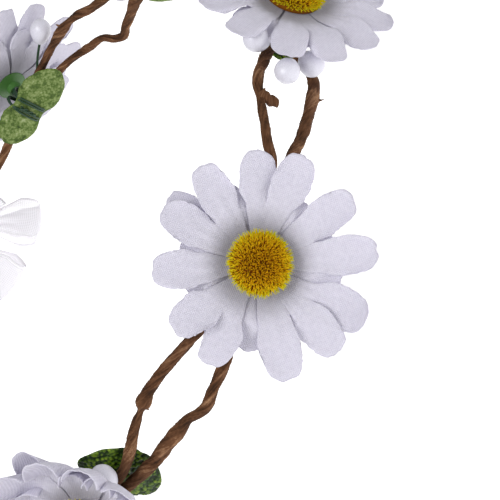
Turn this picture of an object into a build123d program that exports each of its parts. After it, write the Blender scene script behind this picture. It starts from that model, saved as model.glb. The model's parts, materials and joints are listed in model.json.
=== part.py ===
"""Daisy flower crown: two paper-wrapped wire vines bent into a ring that opens at the back,
seven fabric daisies that turn on wire pegs, moss pads, berries and an organza bow.

Units are millimetres. +Z is up and the crown lies flat on Z = 0. Its ring is centred on the
Z axis, the front daisy faces -Y, and angles round the ring run from the front towards +X.
"""

from build123d import *
from math import acos, asin, atan2, cos, hypot, pi, radians, sin, sqrt, tan
import os

os.makedirs("parts", exist_ok=True)

# --- ring and vines ---------------------------------------------------------------------
RING_RADIUS = 90.0          # centreline of the vines, for a 56 cm head
RING_HEIGHT = 22.3          # the vines' mean height when the petal tips rest on a table
VINE_RADIUS = 1.4           # paper-wrapped wire
WIRE_RADIUS = 0.6           # annealed steel wire inside the paper
PAPER_GAP = 0.03            # between the wire and its paper

# --- daisy head, measured along its own axis from the vines' centreline -------------------
PETAL_COUNT = 12
PETAL_TIP = 29.0
PETAL_WIDTH = 9.8
PETAL_ROOT = 9.0
JOINED_RADIUS = 13.5        # the petals are one piece of cloth inside this radius
CLOTH = 0.5
UPPER_BACK, UPPER_RISE = 11.0, 3.6
LOWER_BACK, LOWER_RISE = 10.2, 2.2
LOWER_TIP = 24.5            # the lower layer is cut shorter
BLANK_SPARE = 1.0           # the cloth blank passes the curved faces by this much
DISC_RADIUS, DISC_BASE, DISC_TOP = 9.0, 11.95, 15.6
DISC_RIM = 0.8              # height of the disc's upright edge
PIN_RADIUS, PIN_END = 1.2, 8.75
PIN_CLEARANCE = 0.05
CALYX_FOOT, CALYX_WAIST, CALYX_TOP = 6.4, 8.6, 10.1
CALYX_FOOT_RADIUS, CALYX_RIM_RADIUS = 2.5, 5.0
CALYX_RIM = 0.4             # thickness of the calyx at its rim
PEG_RADIUS, PEG_START, PEG_END = 1.0, 2.4, 8.25
PEG_CLEARANCE = 0.06
PEG_END_GAP = 0.1
COLLAR_RADIUS, COLLAR_LOW, COLLAR_HIGH = 1.9, 5.5, 6.1
RIDGE_RADIUS, RIDGE_LOW, RIDGE_HIGH = 1.3, 7.2, 7.7
RIDGE_PLAY = 0.15           # the calyx's groove passes the ridge by this much above and below
FOOT_RADIUS, FOOT_LENGTH, FOOT_OFFSET = 0.6, 13.0, 2.2

# --- moss pads, ties and berries ----------------------------------------------------------
PAD_INNER, PAD_OUTER = 85.6, 87.3       # radii of the pad's two faces about the ring's axis
TIE_WIRE = 0.7
TIE_TURNS = (-2.2, -1.4, 1.4, 2.2)      # the turns' places along the ring, clear of the peg
TIE_IN, TIE_OUT = 5.2, 3.6              # the tie's reach inside and outside the centreline
TIE_HALF_HEIGHT = 6.2
PAD_WAIST = 5.0                         # half height of the pad where the tie pinches it
WAIST_PLAY = 0.25                       # and the pinch is this much wider than the tie, each side
TIE_CORNER = 1.5
CUT = 10.0                              # reach of a cut that passes right through the pad
BERRY_RADIUS, BERRY_LENGTH = 3.1, 8.2
BERRY_WIRE_RADIUS = 0.4
BERRY_WIRE_START = 92.7                 # where the wires leave the daisy's foot, from the axis
BERRY_WIRE_STEP = 5.5                   # and how far round the ring from the daisy, in degrees
BERRY_WIRE_SPREAD = 1.2                 # height between the wires of one daisy

# --- ribbon -------------------------------------------------------------------------------
RIBBON_GATHERED, RIBBON_THICKNESS = 5.0, 0.8
KNOT_OUTSIDE, KNOT_INSIDE = 93.2, 86.8  # where the ribbon leaves the knot and comes back, along Y
EYE_OUTSIDE, EYE_INSIDE = (20.9, 90.9), (19.4, 84.6)    # its corners round the vine's eye
EYE_BEND = 2.4
KNOT = (7.2, 8.4, 13.0)                 # the knot's width, depth and height
KNOT_DROP = 2.6                         # its middle is this far below the ring's plane
KNOT_ROUNDING, KNOT_GAP = 1.6, 0.05
LOOP_TOP, LOOP_BOTTOM = (6.0, 86.0, 14.6), (11.5, 75.0, 1.9)
LOOP_HALF_WIDTH, LOOP_THICKNESS = 8.0, 2.4
TAIL_WIDTH = 12.0
TAIL_PROFILE = [(0, 19.0), (3.0, 13.0), (7.0, 5.0), (15.0, 1.0), (30.0, 0.7), (44.0, 0.7)]
TAIL_START = (6.6, 95.0)
TAIL_SPLAY = 14.0

# name: (angle, height above the ring's plane, pad half length, pad half height, pad shift)
DAISIES = {
    "front": (0, 0.0, 14.5, 12.5, 0.0),
    "right_front": (50, -2.0, 11.0, 9.0, 2.5),
    "right_side": (100, 0.5, 15.0, 9.0, 0.0),
    "right_back": (150, -1.0, 16.0, 7.8, -1.5),
    "left_front": (-50, -4.0, 16.5, 14.0, 2.0),
    "left_side": (-100, 1.0, 15.0, 9.0, 0.0),
    "left_back": (-150, 0.0, 16.0, 8.2, 1.5),
}
SIDES = {
    "right": ("right_front", "right_side", "right_back"),
    "left": ("left_front", "left_side", "left_back"),
}

# Each vine's route, chosen by hand: (angle round the ring, height above its plane).
FRONT_UPPER = [(-24.6, 8.5), (-16, 6.9), (-8, 3.2), (0, 1.8), (9, 1.9), (17, 2.1), (24.6, 6.3)]
FRONT_LOWER = [(-24.6, -8.4), (-16, -6.5), (-8, -3.0), (0, -1.8), (9, -1.9), (17, -2.8), (24.6, -5.7)]
RIGHT_UPPER = [
    (25.4, 6.9), (31, 9.5), (37, 8.0), (42, 4.2), (46.5, 0.6), (50, -0.1), (58, 0.3), (66, 3.2),
    (76, 6.2), (86, 4.2), (93, 2.7), (100, 2.4), (108, 2.5), (117, 4.0), (127, 6.0), (136, 4.4),
    (143, 2.0), (150, 0.9), (158, 1.4), (164, 4.2), (170.5, 4.3), (170.5, -4.3), (166, -4.2),
]
RIGHT_LOWER = [
    (25.4, -5.9), (33, -8.8), (40, -10.6), (45.5, -4.9), (50, -3.9), (58, -4.1), (66, -5.6), (76, -7.6),
    (86, -5.5), (93, -2.2), (100, -1.4), (108, -1.6), (117, -5.6), (125, -9.8), (131, -6.1),
    (137, -3.9), (143, -3.1), (150, -2.9), (157, -2.9), (161.5, -4.1), (165.8, -4.2),
]
LEFT_UPPER = [
    (-25.4, 8.5), (-31, 7.0), (-38, 2.6), (-44, -1.2), (-50, -2.1), (-58, -1.6), (-66, 2.6),
    (-76, 6.6), (-86, 5.2), (-93, 3.0), (-100, 2.9), (-108, 3.2), (-117, 6.0), (-127, 5.0),
    (-136, 5.6), (-143, 2.6), (-150, 1.9), (-158, 2.2), (-164, 4.2), (-170.5, 4.3),
    (-170.5, -4.3), (-166, -4.2),
]
LEFT_LOWER = [
    (-25.4, -8.2), (-31, -6.3), (-38, -6.1), (-44, -6.0), (-50, -5.9), (-58, -5.8), (-66, -7.0),
    (-76, -8.2), (-86, -5.4), (-93, -1.4), (-100, -0.9), (-108, -1.1), (-117, -5.0),
    (-127, -8.0), (-136, -6.2), (-143, -2.4), (-150, -1.9), (-157, -2.4), (-161.5, -4.1),
    (-165.8, -4.2),
]

# Berries: (daisy, angle, distance from the ring's axis, height) of each bud's middle.
BERRIES = {
    "right": [
        ("right_front", 34.6, 95.6, 4.2), ("right_front", 38.2, 97.0, -3.2),
        ("right_front", 40.0, 93.0, 12.0), ("right_side", 83.5, 95.5, 1.5),
        ("right_side", 117.5, 95.5, -1.0), ("right_back", 136.2, 95.5, 8.2),
        ("right_back", 165.0, 96.5, -1.5),
    ],
    "left": [
        ("left_front", -43.0, 93.6, 4.0), ("left_side", -84.0, 95.5, -2.0),
        ("left_side", -117.0, 95.5, 1.5), ("left_side", -115.0, 96.0, 8.5),
        ("left_back", -134.0, 95.5, -2.0), ("left_back", -165.0, 96.5, 1.0),
    ],
}


def on_ring(angle, height, radius=RING_RADIUS):
    """A point at an angle round the ring, a height above its plane and a distance from its axis."""
    a = radians(angle)
    return Vector(radius * sin(a), -radius * cos(a), RING_HEIGHT + height)


def outward(angle):
    return Vector(sin(radians(angle)), -cos(radians(angle)), 0)


def along(angle):
    return Vector(cos(radians(angle)), sin(radians(angle)), 0)


def head_tilt(height):
    """How far a head looks up, in radians, for its lowest petal's tip to rest on Z = 0."""
    curve = (UPPER_RISE**2 + (PETAL_TIP + BLANK_SPARE) ** 2) / (2 * UPPER_RISE)
    tip_along = UPPER_BACK + curve - sqrt(curve**2 - PETAL_TIP**2)
    return acos((RING_HEIGHT + height) / hypot(tip_along, PETAL_TIP)) - atan2(tip_along, PETAL_TIP)


def head_plane(angle, height):
    """The daisy's own plane: X along the ring, Y up its face, Z out along the peg."""
    t = head_tilt(height)
    facing = outward(angle) * cos(t) + Vector(0, 0, 1) * sin(t)
    return Plane(origin=on_ring(angle, height), x_dir=along(angle), z_dir=facing)


def side_plane(head):
    """The plane of a turned profile: X is the radius and Y runs along the daisy's axis."""
    return Plane(origin=head.origin, x_dir=head.x_dir, z_dir=head.y_dir * -1)


def fillet_radii(points, share=0.45):
    """The largest even arcs that fit between the straight runs of a route."""
    radii = []
    for before, here, after in zip(points, points[1:], points[2:]):
        turn = radians((here - before).get_angle(after - here))
        run = min((here - before).length, (after - here).length)
        radii.append(share * run / tan(turn / 2))
    return radii


def save(part, name):
    part.label = name
    export_step(part, f"parts/{name}.step")


def tube(points, outer, inner=0.0):
    """A bent tube, or a rod, along a route of straight runs joined by arcs."""
    with BuildPart(mode=Mode.PRIVATE) as made:
        with BuildLine():
            route = FilletPolyline(*points, radius=fillet_radii(points))
        with BuildSketch(Plane(origin=route @ 0, z_dir=route % 0)):
            Circle(outer)
            if inner:
                Circle(inner, mode=Mode.SUBTRACT)
        sweep()
    ideal = route.length * pi * (outer**2 - inner**2)
    assert abs(made.part.volume / ideal - 1) < 0.02, "a tube's sweep has gone wrong"
    return made.part


# --- vines --------------------------------------------------------------------------------
# Steel wire wrapped in a strip of brown kraft paper. Each route is one wire and one sleeve.
VINES = {
    "front": {"upper": FRONT_UPPER, "lower": FRONT_LOWER},
    "right": {"upper": RIGHT_UPPER, "lower": RIGHT_LOWER},
    "left": {"upper": LEFT_UPPER, "lower": LEFT_LOWER},
}
for side, strands in VINES.items():
    routes = {level: [on_ring(a, h) for a, h in route] for level, route in strands.items()}
    with BuildPart() as wires:
        for route in routes.values():
            add(tube(route, WIRE_RADIUS))
    save(wires.part, f"vine_wires_{side}")
    if side == "front":
        with BuildPart() as papers:
            for route in routes.values():
                add(tube(route, VINE_RADIUS, WIRE_RADIUS + PAPER_GAP))
        save(papers.part, "vine_papers_front")
    else:
        for level, route in routes.items():
            with BuildPart() as paper:
                add(tube(route, VINE_RADIUS, WIRE_RADIUS + PAPER_GAP))
            save(paper.part, f"{level}_vine_paper_{side}")


# --- daisies ------------------------------------------------------------------------------
def petal_layer(head, back, rise, tip, first_angle):
    """A dished piece of cloth cut into petals, with a hole for the disc's pin."""
    length = tip - PETAL_ROOT
    with BuildPart(mode=Mode.PRIVATE) as layer:
        with BuildSketch(head.offset(back - BLANK_SPARE)):
            Circle(JOINED_RADIUS)
            with PolarLocations(PETAL_ROOT + length / 2, PETAL_COUNT, start_angle=first_angle):
                SlotOverall(length, PETAL_WIDTH)
            Circle(PIN_RADIUS + PIN_CLEARANCE, mode=Mode.SUBTRACT)
        extrude(amount=rise + CLOTH + 2 * BLANK_SPARE)
        with BuildSketch(side_plane(head)):
            with BuildLine():
                edge = tip + BLANK_SPARE
                low = ThreePointArc((0, back), (edge / 2, back + rise / 4), (edge, back + rise))
                high = ThreePointArc(
                    (0, back + CLOTH), (edge / 2, back + CLOTH + rise / 4), (edge, back + CLOTH + rise)
                )
                Line(low @ 1, high @ 1)
                Line(low @ 0, high @ 0)
            make_face()
        revolve(axis=Axis(head.origin, head.z_dir), mode=Mode.INTERSECT)
    return layer.part


for name, (angle, height, pad_length, pad_height, pad_shift) in DAISIES.items():
    head = head_plane(angle, height)
    axis = Axis(head.origin, head.z_dir)

    # Two layers of petals, each stamped from one piece of cloth, half a petal apart.
    with BuildPart() as upper:
        add(petal_layer(head, UPPER_BACK, UPPER_RISE, PETAL_TIP, -90))
    save(upper.part, f"{name}_petals_upper")
    with BuildPart() as lower:
        add(petal_layer(head, LOWER_BACK, LOWER_RISE, LOWER_TIP, -90 + 180 / PETAL_COUNT))
    save(lower.part, f"{name}_petals_lower")

    # The flocked disc is a dome on a pin, which goes through both layers into the calyx.
    cap = DISC_TOP - DISC_BASE - DISC_RIM
    dome_curve = (DISC_RADIUS**2 + cap**2) / (2 * cap)
    half_way = asin(DISC_RADIUS / dome_curve) / 2
    with BuildPart() as disc:
        with BuildSketch(side_plane(head)):
            with BuildLine():
                Line((0, PIN_END), (PIN_RADIUS, PIN_END))
                Line((PIN_RADIUS, PIN_END), (PIN_RADIUS, DISC_BASE))
                Line((PIN_RADIUS, DISC_BASE), (DISC_RADIUS, DISC_BASE))
                Line((DISC_RADIUS, DISC_BASE), (DISC_RADIUS, DISC_BASE + DISC_RIM))
                ThreePointArc(
                    (DISC_RADIUS, DISC_BASE + DISC_RIM),
                    (dome_curve * sin(half_way), DISC_TOP - dome_curve * (1 - cos(half_way))),
                    (0, DISC_TOP),
                )
                Line((0, DISC_TOP), (0, PIN_END))
            make_face()
        revolve(axis=axis)
    save(disc.part, f"{name}_disc")

    # The green plastic calyx clips over the peg's ridge and turns on it.
    with BuildPart() as calyx:
        with BuildSketch(side_plane(head)):
            with BuildLine():
                Polyline(
                    (0, CALYX_FOOT),
                    (CALYX_FOOT_RADIUS, CALYX_FOOT),
                    (CALYX_FOOT_RADIUS, CALYX_WAIST),
                    (CALYX_RIM_RADIUS, CALYX_TOP - CALYX_RIM),
                    (CALYX_RIM_RADIUS, CALYX_TOP),
                    (0, CALYX_TOP),
                    close=True,
                )
            make_face()
            with Locations((0, (CALYX_FOOT + PEG_END + PEG_END_GAP) / 2)):
                Rectangle(
                    2 * (PEG_RADIUS + PEG_CLEARANCE), PEG_END + PEG_END_GAP - CALYX_FOOT, mode=Mode.SUBTRACT
                )
            with Locations((0, (RIDGE_LOW + RIDGE_HIGH) / 2)):
                Rectangle(
                    2 * (RIDGE_RADIUS + PEG_CLEARANCE),
                    RIDGE_HIGH - RIDGE_LOW + 2 * RIDGE_PLAY,
                    mode=Mode.SUBTRACT,
                )
            with Locations((0, (PIN_END - PIN_CLEARANCE + CALYX_TOP) / 2)):
                Rectangle(
                    2 * (PIN_RADIUS + PIN_CLEARANCE), CALYX_TOP - PIN_END + PIN_CLEARANCE, mode=Mode.SUBTRACT
                )
        revolve(axis=axis)
    save(calyx.part, f"{name}_calyx")

    # The stem is a green wire peg with a foot that lies in the valley between the vines.
    with BuildPart() as stem:
        with BuildSketch(side_plane(head)):
            with BuildLine():
                Polyline(
                    (0, PEG_START),
                    (PEG_RADIUS, PEG_START),
                    (PEG_RADIUS, COLLAR_LOW),
                    (COLLAR_RADIUS, COLLAR_LOW),
                    (COLLAR_RADIUS, COLLAR_HIGH),
                    (PEG_RADIUS, COLLAR_HIGH),
                    (PEG_RADIUS, RIDGE_LOW),
                    (RIDGE_RADIUS, RIDGE_LOW),
                    (RIDGE_RADIUS, RIDGE_HIGH),
                    (PEG_RADIUS, RIDGE_HIGH),
                    (PEG_RADIUS, PEG_END),
                    (0, PEG_END),
                    close=True,
                )
            make_face()
        revolve(axis=axis)
        foot_start = on_ring(angle, height, RING_RADIUS + FOOT_OFFSET) - along(angle) * FOOT_LENGTH / 2
        with BuildSketch(Plane(origin=foot_start, z_dir=along(angle))):
            Circle(FOOT_RADIUS)
        extrude(amount=FOOT_LENGTH)
    save(stem.part, f"{name}_stem")

    # The moss pad is a leaf of pebbled green cloth laid against the vines' inner side.
    with BuildPart() as pad:
        with BuildSketch(Plane.XY.offset(RING_HEIGHT + height - pad_height)):
            Circle(PAD_OUTER)
            Circle(PAD_INNER, mode=Mode.SUBTRACT)
        extrude(amount=2 * pad_height)
        centre = on_ring(angle, height, PAD_INNER - CUT) + along(angle) * pad_shift
        with BuildSketch(Plane(origin=centre, x_dir=along(angle), z_dir=outward(angle))):
            Ellipse(pad_length, pad_height)
        extrude(amount=2 * CUT, mode=Mode.INTERSECT)
        tie_gap = Plane(origin=on_ring(angle, height), x_dir=along(angle), z_dir=outward(angle))
        with BuildSketch(tie_gap.offset(-CUT)):
            for level in (-1, 1):
                with Locations((0, level * (PAD_WAIST + CUT))):
                    Rectangle(2 * TIE_TURNS[-1] + TIE_WIRE + 2 * WAIST_PLAY, 2 * CUT)
        extrude(amount=2 * CUT, mode=Mode.SUBTRACT)
    save(pad.part, f"{name}_moss_pad")


# --- ties -----------------------------------------------------------------------------------
# Dark green binding wire, a few turns at each daisy, round the vines, the foot and the pad.
def tie_turns(name):
    angle, height = DAISIES[name][:2]
    middle_radius = RING_RADIUS + (TIE_OUT - TIE_IN) / 2
    half_depth = (TIE_OUT + TIE_IN) / 2
    with BuildPart(mode=Mode.PRIVATE) as turns:
        for place in TIE_TURNS:
            origin = on_ring(angle, height, middle_radius) + along(angle) * (place - TIE_WIRE / 2)
            with BuildSketch(Plane(origin=origin, x_dir=outward(angle), z_dir=along(angle))):
                RectangleRounded(2 * half_depth, 2 * TIE_HALF_HEIGHT, TIE_CORNER)
                RectangleRounded(
                    2 * (half_depth - TIE_WIRE),
                    2 * (TIE_HALF_HEIGHT - TIE_WIRE),
                    TIE_CORNER - TIE_WIRE,
                    mode=Mode.SUBTRACT,
                )
            extrude(amount=TIE_WIRE)
    return turns.part


for side, names in {"front": ("front",), **SIDES}.items():
    with BuildPart() as ties:
        for name in names:
            add(tie_turns(name))
    save(ties.part, f"ties_{side}")


# --- berries --------------------------------------------------------------------------------
# White lacquered buds on short green wires, which leave the daisies' feet along the vines.
def berry_route(daisy, angle, radius, height, rank):
    """Where the bud's wire starts, the bud's middle, and the way the wire runs."""
    daisy_angle, daisy_height = DAISIES[daisy][:2]
    side = 1 if angle > daisy_angle else -1
    start_height = daisy_height + BERRY_WIRE_SPREAD * rank
    start = on_ring(daisy_angle + side * BERRY_WIRE_STEP, start_height, BERRY_WIRE_START)
    middle = on_ring(angle, height, radius)
    return start, middle, (middle - start).normalized()


for side, places in BERRIES.items():
    routes = [berry_route(*place, index % 3 - 1) for index, place in enumerate(places)]
    with BuildPart() as buds:
        for start, middle, heading in routes:
            across = heading.cross(Vector(0, 0, 1)).normalized()
            with BuildSketch(Plane(origin=middle, x_dir=heading, z_dir=across)):
                Ellipse(BERRY_LENGTH / 2, BERRY_RADIUS)
                with Locations((0, -BERRY_RADIUS)):
                    Rectangle(BERRY_LENGTH, 2 * BERRY_RADIUS, mode=Mode.SUBTRACT)
            revolve(axis=Axis(middle, heading))
    save(buds.part, f"berries_{side}")
    with BuildPart() as stalks:
        for start, middle, heading in routes:
            with BuildSketch(Plane(origin=start, z_dir=heading)):
                Circle(BERRY_WIRE_RADIUS)
            extrude(amount=(middle - start).length - BERRY_LENGTH / 2)
    save(stalks.part, f"berry_wires_{side}")


# --- ribbon ---------------------------------------------------------------------------------
# One length of white organza goes through both eyes and is tied in a bow behind the head.
# Its two ends of the tie, from knot to eye and back, stretch when the ring opens.
for side, sign in {"right": 1, "left": -1}.items():
    knot_side = KNOT[0] / 2 + KNOT_GAP
    route = [(knot_side, KNOT_OUTSIDE), EYE_OUTSIDE, EYE_INSIDE, (knot_side, KNOT_INSIDE)]
    with BuildPart() as tie:
        with BuildLine():
            line = FilletPolyline(*[(sign * x, y, RING_HEIGHT) for x, y in route], radius=EYE_BEND)
        with BuildSketch(Plane(origin=line @ 0, x_dir=(0, 0, 1), z_dir=line % 0)):
            Rectangle(RIBBON_GATHERED, RIBBON_THICKNESS)
        sweep()
    save(tie.part, f"ribbon_tie_{side}")

with BuildPart() as bow:
    with Locations((0, RING_RADIUS, RING_HEIGHT - KNOT_DROP)):
        Box(*KNOT)
    fillet(bow.edges(), radius=KNOT_ROUNDING)
    for sign in (1, -1):
        top = Vector(sign * LOOP_TOP[0], *LOOP_TOP[1:])
        bottom = Vector(sign * LOOP_BOTTOM[0], *LOOP_BOTTOM[1:])
        facing = (top - bottom).cross(Vector(1, 0, 0)).normalized()
        loop_plane = Plane(origin=(top + bottom) / 2, x_dir=(top - bottom).normalized(), z_dir=facing)
        with BuildSketch(loop_plane.offset(-LOOP_THICKNESS / 2)):
            Ellipse((top - bottom).length / 2, LOOP_HALF_WIDTH)
        extrude(amount=LOOP_THICKNESS)

        way = Vector(sign * sin(radians(TAIL_SPLAY)), cos(radians(TAIL_SPLAY)), 0)
        tail_plane = Plane(
            origin=(sign * TAIL_START[0], TAIL_START[1], 0), x_dir=way, z_dir=way.cross(Vector(0, 0, 1))
        )
        with BuildSketch(tail_plane):
            with BuildLine():
                upper = Polyline(*[(x, z + RIBBON_THICKNESS / 2) for x, z in TAIL_PROFILE])
                lower = Polyline(*[(x, z - RIBBON_THICKNESS / 2) for x, z in TAIL_PROFILE])
                Line(upper @ 0, lower @ 0)
                Line(upper @ 1, lower @ 1)
            make_face()
        extrude(amount=TAIL_WIDTH / 2, both=True)
save(bow.part, "bow")
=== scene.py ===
"""Looks of a daisy flower crown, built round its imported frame. Shapes are worked out in
millimetres and written to the meshes in metres."""

import json
import math
import random

import bpy
import numpy as np
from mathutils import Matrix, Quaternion, Vector, noise


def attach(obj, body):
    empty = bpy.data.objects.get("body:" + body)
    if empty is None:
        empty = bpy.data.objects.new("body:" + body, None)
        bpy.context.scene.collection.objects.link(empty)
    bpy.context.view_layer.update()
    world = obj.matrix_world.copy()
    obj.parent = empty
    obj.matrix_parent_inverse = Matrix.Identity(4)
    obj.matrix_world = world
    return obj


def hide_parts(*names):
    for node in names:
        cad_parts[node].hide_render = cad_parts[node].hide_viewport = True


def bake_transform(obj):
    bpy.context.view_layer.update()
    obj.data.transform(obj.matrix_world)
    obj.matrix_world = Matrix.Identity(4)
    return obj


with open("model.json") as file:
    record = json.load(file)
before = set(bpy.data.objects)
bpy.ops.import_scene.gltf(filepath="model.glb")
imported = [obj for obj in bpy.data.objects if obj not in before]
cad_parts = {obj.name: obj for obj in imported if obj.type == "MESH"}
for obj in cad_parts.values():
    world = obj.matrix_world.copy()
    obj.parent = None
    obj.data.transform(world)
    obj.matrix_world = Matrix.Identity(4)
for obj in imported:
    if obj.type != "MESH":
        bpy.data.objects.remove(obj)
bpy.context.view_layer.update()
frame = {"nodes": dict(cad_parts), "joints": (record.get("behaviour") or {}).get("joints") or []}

# --- Camera -----------------------------------------------------------------------------
# A long lens looks down at the front daisy from outside the ring, a little to the left, and
# is rolled so that the vines climb past the daisy.
camera = bpy.data.objects.new("camera", bpy.data.cameras.new("camera"))
bpy.context.scene.collection.objects.link(camera)
bpy.context.scene.camera = camera
camera.data.lens = 162.7
camera.location = (-0.08747, -0.58529, 0.32513)
camera_aim = Vector((0.15607, 0.84373, -0.51358))
camera_roll = Quaternion((0, 0, 1), math.radians(-63.03))
camera.rotation_euler = (camera_aim.to_track_quat("-Z", "Y") @ camera_roll).to_euler()

# --- Studio -----------------------------------------------------------------------------
# A white table that glows a little, as on a light box, under soft white light, with one broad
# lamp above the front of the ring and a weak one to the left of it.
bpy.context.scene.view_settings.view_transform = "Standard"
bpy.ops.object.select_all(action="DESELECT")


def linear(colour):
    """An sRGB hex colour as linear RGBA."""
    parts = [int(colour[i : i + 2], 16) / 255 for i in (1, 3, 5)]
    return tuple(c / 12.92 if c < 0.04045 else ((c + 0.055) / 1.055) ** 2.4 for c in parts) + (1,)


def add_node(material, kind, inputs=None, stops=None, **settings):
    """Adds a node. Inputs are values or other nodes' outputs, and stops are a ramp's colours."""
    made = material.node_tree.nodes.new(kind)
    for key, value in settings.items():
        setattr(made, key, value)
    for key, value in (inputs or {}).items():
        if isinstance(value, bpy.types.NodeSocket):
            material.node_tree.links.new(value, made.inputs[key])
        else:
            made.inputs[key].default_value = value
    if stops:
        while len(made.color_ramp.elements) < len(stops):
            made.color_ramp.elements.new(0.5)
        for element, (place, colour) in zip(made.color_ramp.elements, stops):
            element.position = place
            element.color = linear(colour)
    return made


def new_material(name, **shader_values):
    """A material with one principled shader, whose constant values are set on its own sockets."""
    material = bpy.data.materials.new(name)
    material.use_nodes = True
    shader = material.node_tree.nodes["Principled BSDF"]
    for key, value in shader_values.items():
        shader.inputs[key.replace("_", " ")].default_value = value
    return material, shader


def feed(material, shader, **sources):
    """Links nodes' outputs to the shader's inputs, as in Base_Color=output."""
    for key, output in sources.items():
        material.node_tree.links.new(output, shader.inputs[key.replace("_", " ")])


bpy.ops.mesh.primitive_plane_add(size=6, location=(0, 0, -0.001))
table = bpy.context.object
table.name = "table"
table_white, shader = new_material(
    "white_acrylic_light_table",
    Base_Color=linear("#F2F2F2"),
    Roughness=0.6,
    Emission_Color=(1, 1, 1, 1),
    Emission_Strength=0.76,
)
table.data.materials.append(table_white)

world = bpy.data.worlds.new("studio")
bpy.context.scene.world = world
world.use_nodes = True
world.node_tree.nodes["Background"].inputs["Color"].default_value = (1, 1, 1, 1)
world.node_tree.nodes["Background"].inputs["Strength"].default_value = 0.34

for name, place, size, energy in (
    ("key_lamp", (-0.3, -0.4, 1.05), 0.6, 8.5),
    ("fill_lamp", (-0.6, -0.8, 0.5), 0.8, 0.7),
):
    lamp = bpy.data.objects.new(name, bpy.data.lights.new(name, "AREA"))
    bpy.context.scene.collection.objects.link(lamp)
    lamp.data.size = size
    lamp.data.energy = energy
    lamp.location = place
    lamp.rotation_euler = (-lamp.location).to_track_quat("-Z", "Y").to_euler()

# --- Vines ------------------------------------------------------------------------------
# Two steel wires, each twisted up in a strip of brown kraft paper, run from behind the front
# daisy round to an eye at the back. The twist leaves long slanting creases, laps and necks.
RING_RADIUS = 90.0
RING_HEIGHT = 22.3
ROUND = 22                  # points round a vine
STEP = 0.42                 # mm between its rings
PAPER_TWIST = 27.0          # mm of vine for one turn of the paper
WIRE_RADIUS = 0.6
FLEX_ZONE = (20, 30)        # degrees round the ring, from which two places are worked out and not used
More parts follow.
